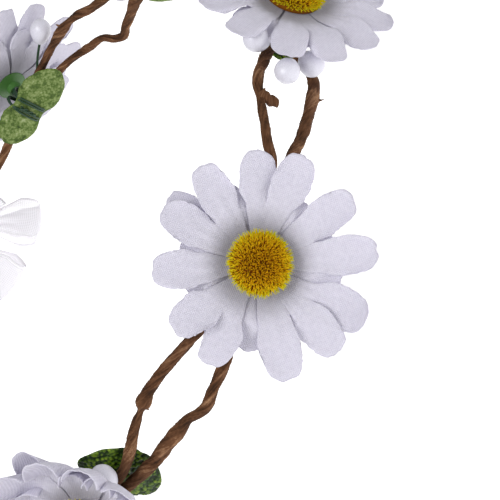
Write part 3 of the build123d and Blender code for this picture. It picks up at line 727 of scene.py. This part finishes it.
def flocked_disc(chance):
    """Points, faces and tones of a button and its fibres, in the daisy's own frame."""
    points, faces, tones = [], [], []
    rings, spokes = 12, 40
    for i in range(rings + 1):
        radius = BUTTON_RADIUS * math.sin(math.pi / 2 * i / rings)
        for j in range(spokes):
            a = 2 * math.pi * j / spokes
            lump = 0.12 * noise.noise((radius * math.cos(a), radius * math.sin(a), 1))
            z = button_height(radius) + lump if i < rings else BUTTON_BASE - 0.5
            points.append((max(radius, 0.02) * math.cos(a), max(radius, 0.02) * math.sin(a), z))
            # The button under the fibres is drawn dark: painted shade under the pile.
            tones.append(0.15)
    for i in range(rings):
        for j in range(spokes):
            k = (j + 1) % spokes
            faces.append((i * spokes + j, (i + 1) * spokes + j, (i + 1) * spokes + k, i * spokes + k))
    faces.append(tuple(range(spokes)))
    faces.append(tuple(rings * spokes + j for j in reversed(range(spokes))))
    for n in range(FIBRES):
        reach = math.sqrt((n + 0.5) / FIBRES)
        a = n * math.radians(137.508) + chance.uniform(-0.3, 0.3)
        radius = BUTTON_RADIUS * reach
        foot = Vector((radius * math.cos(a), radius * math.sin(a), button_height(radius) - 0.1))
        radial = Vector((math.cos(a), math.sin(a), 0))
        fan = reach**2.5
        way = radial * (1.35 * fan + 0.15) + Vector((0, 0, 1.05 - 0.75 * fan))
        way += Vector([chance.uniform(-0.42, 0.42) for _ in range(3)])
        way.normalize()
        length = chance.uniform(0.95, 1.45) + 0.25 * fan
        across = way.orthogonal().normalized()
        across = Quaternion(way, chance.uniform(0, 6.28)) @ across
        other = way.cross(across)
        bright = 0.27 + 0.3 * fan + chance.uniform(-0.08, 0.16)
        bend = Vector([chance.uniform(-0.15, 0.15) for _ in range(3)])
        first = len(points)
        # Each fibre is drawn paler toward its tip: painted shade at its root, down in the pile.
        for t, wide, lift in ((0, 0.13, 0.0), (0.55, 0.11, 0.25), (1.0, 0.05, 0.46)):
            middle = foot + way * length * t + bend * t * t
            for q in (0, 2.094, 4.189):
                points.append(middle + (across * math.cos(q) + other * math.sin(q)) * wide)
                tones.append(min(1.0, bright + lift * (0.85 + 0.5 * fan)))
        for i in range(2):
            for j in range(3):
                p, q = first + 3 * i + j, first + 3 * i + (j + 1) % 3
                faces.append((p, q, q + 3, p + 3))
        faces.append((first + 6, first + 7, first + 8))
        faces.append((first + 2, first + 1, first))
    return points, faces, tones


for number, name in enumerate(HEADS):
    points, faces, tones = flocked_disc(random.Random(70 + number))
    disc = make_mesh(f"{name}_flocked_disc", place_on_head(name, points), faces, flock, tone=tones)
    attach(disc, f"{name}_daisy")
    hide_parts(f"{name}_disc")

# --- Moss pads --------------------------------------------------------------------------------
# A leaf of green cloth, covered in glossy pebbles on its outer face, backs each daisy behind
# the vines. The binding wire pinches it at its middle and draws creases in its cloth back.
PAD_OUTER, PAD_INNER = 87.3, 85.7
PEBBLE = 1.0                # mm across
PEBBLE_HEIGHT = 0.42
# name: (half length, half height, shift along the ring)
PADS = {
    "front": (14.5, 12.5, 0.0), "right_front": (11.0, 9.0, 2.5), "right_side": (15.0, 9.0, 0.0),
    "right_back": (16.0, 7.8, -1.5), "left_front": (16.5, 14.0, 2.0),
    "left_side": (15.0, 9.0, 0.0), "left_back": (16.0, 8.2, 1.5),
}
PAD_WAIST, WAIST_LENGTH = 5.3, 4.2

# The pebbles' colour is drawn from their height: painted shade in the gaps between them and a painted
# highlight on their crowns, with a random green for each pebble.
pebbled, shader = new_material("glossy_pebbled_moss_cloth", Roughness=0.42, IOR=1.4)
tone = add_node(pebbled, "ShaderNodeAttribute", attribute_name="tone")
speck = add_node(pebbled, "ShaderNodeTexNoise", {"Scale": 1400.0, "Detail": 2.0})
shade = add_node(
    pebbled,
    "ShaderNodeMath",
    {0: speck.outputs["Fac"], 1: 0.22, 2: tone.outputs["Fac"]},
    operation="MULTIPLY_ADD",
)
moss_green = add_node(
    pebbled,
    "ShaderNodeValToRGB",
    {"Fac": shade.outputs[0]},
    stops=[(0.08, "#0A1804"), (0.36, "#2C480C"), (0.64, "#6E8A1C"), (0.95, "#C9D452")],
)
feed(pebbled, shader, Base_Color=moss_green.outputs[0])

# The backing is a plain cotton scrim, dyed yellow-green and blotched grey where glue came
# through it.
backing, shader = new_material("yellow_green_cotton_scrim", Roughness=0.9, IOR=1.45)
place = add_node(backing, "ShaderNodeTexCoord").outputs["UV"]
blotch = add_node(
    backing, "ShaderNodeTexNoise", {"Vector": place, "Scale": 0.32, "Detail": 5.0, "Roughness": 0.65}
)
scrim = add_node(backing, "ShaderNodeTexVoronoi", {"Vector": place, "Scale": 1.4})
shade = add_node(
    backing,
    "ShaderNodeMath",
    {0: scrim.outputs["Distance"], 1: -0.25, 2: blotch.outputs["Fac"]},
    operation="MULTIPLY_ADD",
)
scrim_green = add_node(
    backing,
    "ShaderNodeValToRGB",
    {"Fac": shade.outputs[0]},
    stops=[(0.12, "#22330F"), (0.32, "#50662A"), (0.5, "#7F8F56"), (0.68, "#A5AE88")],
)
bumps = add_node(
    backing, "ShaderNodeBump", {"Height": shade.outputs[0], "Strength": 0.5, "Distance": 0.0003}
)
feed(backing, shader, Base_Color=scrim_green.outputs[0], Normal=bumps.outputs[0])


def pad_place(u, v, half_length, half_height, shift):
    """A square's point (u, v) put on the leaf: mm along the ring and mm up."""
    x = half_length * u * math.sqrt(1 - v * v / 2)
    y = half_height * v * math.sqrt(1 - u * u / 2)
    ragged = 1 + 0.035 * noise.noise((4 * math.atan2(v, u), half_length, 7)) * max(abs(u), abs(v)) ** 6
    x, y = x * ragged + shift, y * ragged
    waist = math.exp(-((x / WAIST_LENGTH) ** 2))
    return x, y * (1 - waist * (1 - PAD_WAIST / half_height))


for number, (name, (half_length, half_height, shift)) in enumerate(PADS.items()):
    origin = HEADS[name][0]
    middle = math.degrees(math.atan2(origin.x, -origin.y))
    columns, rows_up = int(half_length * 2 / 0.3), int(half_height * 2 / 0.3)
    points, faces, uv, tones = [], [], [], []
    for side in (1, 0):
        for i in range(columns + 1):
            for j in range(rows_up + 1):
                u, v = 2 * i / columns - 1, 2 * j / rows_up - 1
                x, y = pad_place(u, v, half_length, half_height, shift)
                rim = max(abs(u), abs(v)) ** 10
                crumple = 0.5 * noise.noise((math.atan2(y, x) * 3, number, 0.2)) * math.exp(-((x / 7) ** 2))
                crumple += 0.7 * noise.noise((x / 7, y / 5, number)) * (1 - math.exp(-((x / 5) ** 2)))
                if side:
                    spots = noise.voronoi((x / PEBBLE, y / PEBBLE, 0.3 * number))
                    gap = spots[0][0]
                    stone = math.sqrt(max(0, 1 - (gap / 0.66) ** 2))
                    radius = PAD_OUTER - 0.55 + PEBBLE_HEIGHT * stone - 0.5 * rim + 0.3 * crumple
                    pick = abs(noise.cell(spots[1][0] * 7.7))
                    # Dark in the gaps and pale on the crowns is painted shade and painted highlight; the
                    # pick varies each pebble's green.
                    tones.append(0.04 + 0.3 * stone + 0.34 * pick * stone)
                else:
                    radius = PAD_INNER + 0.15 + 0.45 * rim + 0.55 * crumple
                    tones.append(0.5)
                degrees = middle + math.degrees(x / RING_RADIUS)
                points.append(on_ring(degrees, origin.z - RING_HEIGHT + y, radius))
                uv.append((x, y))
    across, layer = rows_up + 1, (columns + 1) * (rows_up + 1)
    for i in range(columns):
        for j in range(rows_up):
            a = i * across + j
            faces.append((a, a + across, a + across + 1, a + 1))
            faces.append((layer + a, layer + a + 1, layer + a + across + 1, layer + a + across))
    inner_faces = len(faces)
    border = [i * across for i in range(columns + 1)]
    border += [columns * across + j for j in range(1, rows_up + 1)]
    border += [i * across + rows_up for i in range(columns - 1, -1, -1)]
    border += [j for j in range(rows_up - 1, 0, -1)]
    for a, b in zip(border, border[1:] + border[:1]):
        faces.append((a, layer + a, layer + b, b))
    pad = make_mesh(f"{name}_moss_leaf", points, faces, pebbled, uv, tones)
    pad.data.materials.append(backing)
    for index in range(1, inner_faces, 2):
        pad.data.polygons[index].material_index = 1
    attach(pad, "root" if name == "front" else name.split("_")[0] + "_arm")
    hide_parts(f"{name}_moss_pad")

# --- Binding wire -------------------------------------------------------------------------------
# A few turns of thin wire in dark green plastic bind the pad, the vines and the stem's foot
# together behind each daisy. The two ends are twisted off on the inside.
BINDING_RADIUS = 0.36
TURN_PLACES = (-2.2, -1.4, 1.4, 2.2)
REACH_IN, REACH_OUT, REACH_UP = 4.85, 3.25, 5.85
GROUPS = {"front": ["front"]}
for hand in ("right", "left"):
    GROUPS[hand] = [name for name in HEADS if name.startswith(hand)]


def join(pieces, name):
    """Joins finished objects into one, which takes the name."""
    bpy.ops.object.select_all(action="DESELECT")
    for piece in pieces:
        piece.select_set(True)
    bpy.context.view_layer.objects.active = pieces[0]
    bpy.ops.object.join()
    pieces[0].name = name
    pieces[0].data.name = name
    return pieces[0]


for group, names in GROUPS.items():
    chance = random.Random(len(group))
    loops = []
    for name in names:
        origin = HEADS[name][0]
        angle = math.degrees(math.atan2(origin.x, -origin.y))
        outward = on_ring(angle, -RING_HEIGHT, 1)
        along = HEADS[name][1]
        for place in TURN_PLACES:
            slant = chance.uniform(-0.25, 0.25)
            centres = []
            for i in range(57):
                a = 2 * math.pi * i / 56
                c, s = math.cos(a), math.sin(a)
                depth = (REACH_OUT if c > 0 else REACH_IN) * abs(c) ** 0.6 * (1 if c > 0 else -1)
                height = REACH_UP * abs(s) ** 0.6 * (1 if s > 0 else -1)
                shift = place + slant * s + 0.12 * math.sin(3 * a + slant * 9)
                centres.append(origin + outward * depth + Vector((0, 0, height)) + along * shift)
            radii = np.full((57, 8), BINDING_RADIUS)
            loops.append(tube(centres, radii, along, coated_wire, "binding_turn"))
        for twist in (0, math.pi):
            centres = []
            for i in range(24):
                t = i / 23
                a = twist + 9 * t
                foot = origin - outward * (REACH_IN + 0.3 + 0.6 * t) + Vector((0, 0, 3.2 - 5.5 * t))
                centres.append(foot + along * (0.5 + 0.36 * math.cos(a)) - outward * 0.36 * math.sin(a))
            radii = np.full((24, 8), BINDING_RADIUS * 0.9)
            loops.append(tube(centres, radii, along, coated_wire, "binding_end"))
    binding = join(loops, f"binding_wire_{group}")
    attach(binding, "root" if group == "front" else f"{group}_arm")
    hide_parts(f"ties_{group}")

# --- Berries ------------------------------------------------------------------------------------
# White buds, moulded in foam and dipped in pearly lacquer, sit on short dipped wires that
# leave the daisies' feet and run along the vines.
BERRY_RADIUS, BERRY_LENGTH = 3.4, 8.8
STALK_RADIUS, STALK_START, STALK_STEP, STALK_SPREAD = 0.42, 92.7, 5.5, 1.2
# (daisy, angle, distance from the ring's axis, height) of each bud's middle
BERRIES = {
    "right": [
        ("right_front", 34.6, 95.6, 4.2), ("right_front", 38.2, 97.0, -3.2),
        ("right_front", 40.0, 93.0, 12.0), ("right_side", 83.5, 95.5, 1.5),
        ("right_side", 117.5, 95.5, -1.0), ("right_back", 136.2, 95.5, 8.2),
        ("right_back", 165.0, 96.5, -1.5),
    ],
    "left": [
        ("left_front", -43.0, 93.6, 4.0), ("left_side", -84.0, 95.5, -2.0),
        ("left_side", -117.0, 95.5, 1.5), ("left_side", -115.0, 96.0, 8.5),
        ("left_back", -134.0, 95.5, -2.0), ("left_back", -165.0, 96.5, 1.0),
    ],
}
lacquer, shader = new_material(
    "pearl_lacquered_foam", Roughness=0.34, IOR=1.48, Coat_Weight=0.35, Coat_Roughness=0.2,
    Sheen_Weight=0.15,
)
cloud = add_node(lacquer, "ShaderNodeTexNoise", {"Scale": 220.0, "Detail": 3.0})
pearl = add_node(
    lacquer,
    "ShaderNodeValToRGB",
    {"Fac": cloud.outputs["Fac"]},
    stops=[(0.25, "#CFCDD8"), (0.7, "#E4E3EE")],
)
skin = add_node(lacquer, "ShaderNodeTexNoise", {"Scale": 1500.0, "Detail": 2.0})
bumps = add_node(
    lacquer, "ShaderNodeBump", {"Height": skin.outputs["Fac"], "Strength": 0.12, "Distance": 0.0001}
)
feed(lacquer, shader, Base_Color=pearl.outputs[0], Normal=bumps.outputs[0])

for hand, places in BERRIES.items():
    buds, stalks = [], []
    chance = random.Random(90 + len(hand))
    for index, (daisy, angle, radius, height) in enumerate(places):
        origin = HEADS[daisy][0]
        daisy_angle = math.degrees(math.atan2(origin.x, -origin.y))
        side = 1 if angle > daisy_angle else -1
        rank = index % 3 - 1
        foot_height = origin.z - RING_HEIGHT + STALK_SPREAD * rank
        start = on_ring(daisy_angle + side * STALK_STEP, foot_height, STALK_START)
        middle = on_ring(angle, height, radius)
        heading = (middle - start).normalized()
        bpy.ops.object.select_all(action="DESELECT")
        bpy.ops.mesh.primitive_uv_sphere_add(segments=36, ring_count=24, radius=1, location=(0, 0, 0))
        bud = bpy.context.object
        plump = BERRY_RADIUS * chance.uniform(0.95, 1.04)
        turned = heading.to_track_quat("Z", "Y")
        for vertex in bud.data.vertices:
            x, y, z = vertex.co
            narrow = 1 - 0.17 * z - 0.05 * z * z
            dent = 1 + 0.02 * noise.noise((x * 2 + index, y * 2, z * 2))
            shape = Vector((-x * plump * narrow, y * plump * narrow, -z * BERRY_LENGTH / 2)) * dent
            vertex.co = (middle + turned @ shape) / 1000
        bud.data.materials.append(lacquer)
        bud.data.shade_smooth()
        buds.append(bud)
        base = middle - heading * (BERRY_LENGTH / 2 - 0.5)
        sway = heading.cross(Vector((0, 0, 1))).normalized() * chance.uniform(-0.3, 0.3)
        centres = []
        for i in range(19):
            t = i / 18
            centres.append(start.lerp(base, t) + (sway + Vector((0, 0, 0.3))) * math.sin(math.pi * t))
        stalks.append(tube(centres, np.full((19, 10), STALK_RADIUS), (0.1, 0.2, 1), coated_wire, "stalk"))
    buds = join(buds, f"buds_{hand}")
    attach(buds, f"{hand}_arm")
    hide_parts(f"berries_{hand}")
    stalks = join(stalks, f"bud_stalks_{hand}")
    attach(stalks, f"{hand}_arm")
    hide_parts(f"berry_wires_{hand}")

# --- Ribbon through the eyes ----------------------------------------------------------------------
# One length of sheer white organza goes from the knot through each eye and back. Gathered through the eye it
# falls into fine pleats.
RIBBON_WIDTH = 15.0
SELVEDGE = 0.9
ORGANZA_THREADS_PER_MM = 1.6
organza, shader = new_material(
    "sheer_white_organza", Base_Color=linear("#F3F1F6"), Roughness=0.45, IOR=1.45, Alpha=0.5,
    Sheen_Weight=0.4, Sheen_Roughness=0.3,
)
place = add_node(organza, "ShaderNodeTexCoord").outputs["UV"]
split = add_node(organza, "ShaderNodeSeparateXYZ", {0: place})
grid = thread_waves(organza, place, ORGANZA_THREADS_PER_MM)
mesh_of_threads = add_node(
    organza, "ShaderNodeMath", {0: grid[0].outputs[0], 1: grid[1].outputs[0]}, operation="MAXIMUM"
)
from_middle = add_node(organza, "ShaderNodeMath", {0: split.outputs["Y"]}, operation="ABSOLUTE")
edge = add_node(
    organza,
    "ShaderNodeMapRange",
    {
        "Value": from_middle.outputs[0],
        "From Min": RIBBON_WIDTH / 2 - SELVEDGE,
        "From Max": RIBBON_WIDTH / 2 - SELVEDGE + 0.2,
        "To Min": 0.0,
        "To Max": 0.42,
    },
)
cover = add_node(
    organza,
    "ShaderNodeMath",
    {0: mesh_of_threads.outputs[0], 1: 0.1, 2: edge.outputs[0]},
    operation="MULTIPLY_ADD",
)
cover = add_node(organza, "ShaderNodeMath", {0: cover.outputs[0], 1: 0.4}, operation="ADD", use_clamp=True)
feed(organza, shader, Alpha=cover.outputs[0])


def ribbon_strip(name, rows, across):
    """A strip of organza from rows of points, with UVs in mm along and across the ribbon."""
    rows = np.array(rows, float)
    count = rows.shape[1]
    along = np.r_[0, np.cumsum(np.linalg.norm(np.diff(rows.mean(1), axis=0), axis=1))]
    uv = [(along[i], across * (j / (count - 1) - 0.5)) for i in range(len(rows)) for j in range(count)]
    strip = make_mesh(name, rows.reshape(-1, 3), grid_faces(len(rows), count), organza, uv)
    bpy.context.view_layer.objects.active = strip
    thickness = strip.modifiers.new("weave", "SOLIDIFY")
    thickness.thickness = 0.00009
    thickness.offset = 0
    bpy.ops.object.modifier_apply(modifier="weave")
    return strip


for hand, sign in (("right", 1), ("left", -1)):
    route = [(3.2, 92.9), (8, 92.6), (14, 91.9), (18.5, 91.0), (20.4, 88.9), (19.6, 86.4), (17, 85.4),
             (12, 85.9), (7, 86.6), (3.2, 86.9)]
    line = smooth_rows(route, 0.5, (1, 1))
    rows = []
    for i, (x, y) in enumerate(line):
        before, after = line[max(0, i - 1)], line[min(len(line) - 1, i + 1)]
        run = np.array(after) - np.array(before)
        normal = np.array((-run[1], run[0])) / np.hypot(*run)
        row = []
        for j in range(41):
            w = j / 40 - 0.5
            pleat = 0.62 * math.sin(2 * math.pi * 4 * w + 0.5 * math.sin(i / 9))
            pleat += 0.15 * noise.noise((i / 7, j / 6, sign))
            height = RING_HEIGHT + 5.2 * w * (1 + 0.12 * math.sin(i / 11))
            row.append((sign * (x + normal[0] * pleat), y + normal[1] * pleat, height))
        rows.append(row)
    gathered = ribbon_strip(f"ribbon_through_eye_{hand}", rows, RIBBON_WIDTH)
    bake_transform(gathered)
    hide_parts(f"ribbon_tie_{hand}")

# --- Bow ------------------------------------------------------------------------------------------
# The ribbon is tied behind the head. Its two loops droop inward to the table, its tails fall
# outward and lie flat with their ends cut aslant, and the knot is a tight pleated wrap.
KNOT_MIDDLE = Vector((0, 90, RING_HEIGHT - 2.6))
KNOT_HALF = (3.6, 4.2, 6.5)
bpy.ops.object.select_all(action="DESELECT")
bpy.ops.mesh.primitive_uv_sphere_add(segments=72, ring_count=40, radius=1, location=(0, 0, 0))
knot = bpy.context.object
knot.name = knot.data.name = "bow_knot"
for vertex in knot.data.vertices:
    x, y, z = (abs(c) ** 0.62 * (1 if c > 0 else -1) for c in vertex.co)
    around = math.atan2(vertex.co.y, vertex.co.x)
    pleat = 1 + 0.05 * math.sin(9 * z + 2.2 * math.sin(around) + 1.3 * noise.noise((x, y, z)))
    pleat += 0.05 * noise.noise((2 * x, 2 * y, 3 * z))
    shape = Vector((x * KNOT_HALF[0] * pleat, y * KNOT_HALF[1] * pleat, z * KNOT_HALF[2]))
    vertex.co = (KNOT_MIDDLE + shape) / 1000
knot_cloth, shader = new_material(
    "knotted_white_organza", Base_Color=linear("#EFEDF3"), Roughness=0.5, IOR=1.45, Sheen_Weight=0.5,
    Sheen_Roughness=0.3,
)
stripes = add_node(knot_cloth, "ShaderNodeTexWave", {"Scale": 900.0, "Distortion": 1.5}, bands_direction="Z")
bumps = add_node(
    knot_cloth, "ShaderNodeBump", {"Height": stripes.outputs["Fac"], "Strength": 0.3, "Distance": 0.0002}
)
feed(knot_cloth, shader, Normal=bumps.outputs[0])
knot.data.materials.append(knot_cloth)
knot.data.shade_smooth()
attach(knot, "root")
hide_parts("bow")

for hand, sign in (("right", 1), ("left", -1)):
    top = Vector((sign * 3.4, 87.2, 17.5))
    tip = Vector((sign * 11.5, 74.6, 1.6))
    down = (tip - top).normalized()
    sideways = down.cross(Vector((0, 0, 1))).cross(down).normalized()
    wide = down.cross(sideways).normalized()
    reach = (tip - top).length
    rows = []
    for i in range(61):
        t = i / 60
        out = math.sin(math.pi * t) ** 0.85 * reach
        belly = 3.3 * math.sin(2 * math.pi * t) * (1 - 0.25 * t)
        half = 2.4 + (RIBBON_WIDTH / 2 - 2.2) * min(1, math.sin(math.pi * t) * 1.5) ** 1.3
        row = []
        for j in range(25):
            w = 2 * j / 24 - 1
            ripple = 0.8 * math.sin(3.1 * w * math.pi + sign) * (1 - min(1, math.sin(math.pi * t) * 1.2))
            ripple += 0.5 * noise.noise((w * 1.4, t * 5, 3 + sign))
            sag = -1.2 * w * w * math.sin(math.pi * t)
            p = top + down * (out + sag) + sideways * (belly + ripple) + wide * (w * half)
            p.z = max(p.z, 0.35)
            row.append(p)
        rows.append(row)
    loop = ribbon_strip(f"bow_loop_{hand}", rows, RIBBON_WIDTH)
    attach(loop, "root")
    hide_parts("bow")

    way = Vector((sign * math.sin(math.radians(14)), math.cos(math.radians(14)), 0))
    across = Vector((way.y, -way.x, 0))
    profile = [(-3.5, 19.5), (0, 18.2), (3, 13), (7, 5.4), (11.5, 1.9), (17, 0.7), (30, 0.6), (44, 0.6)]
    line = smooth_rows(profile, 0.7, (1, 1))
    rows = []
    for i, (x, z) in enumerate(line):
        t = i / (len(line) - 1)
        half = 2.2 + (RIBBON_WIDTH / 2 - 2.4) * min(1, 2.4 * t) ** 1.2
        row = []
        for j in range(21):
            w = 2 * j / 20 - 1
            gather = max(0, 1 - 2.6 * t)
            wave = 0.5 * (1 + math.sin(7 * t + 2.6 * w * sign)) * t * 0.8
            lift = 0.7 * gather * math.sin(3 * math.pi * w) + wave
            cut = -2.6 * w * sign * max(0, (t - 0.9) / 0.1)
            p = Vector((sign * 6.6, 95, 0)) + way * (x + cut) + across * (w * half)
            p.z = max(0.25, z + lift)
            row.append(p)
        rows.append(row)
    tail = ribbon_strip(f"bow_tail_{hand}", rows, RIBBON_WIDTH)
    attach(tail, "root")
    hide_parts("bow")
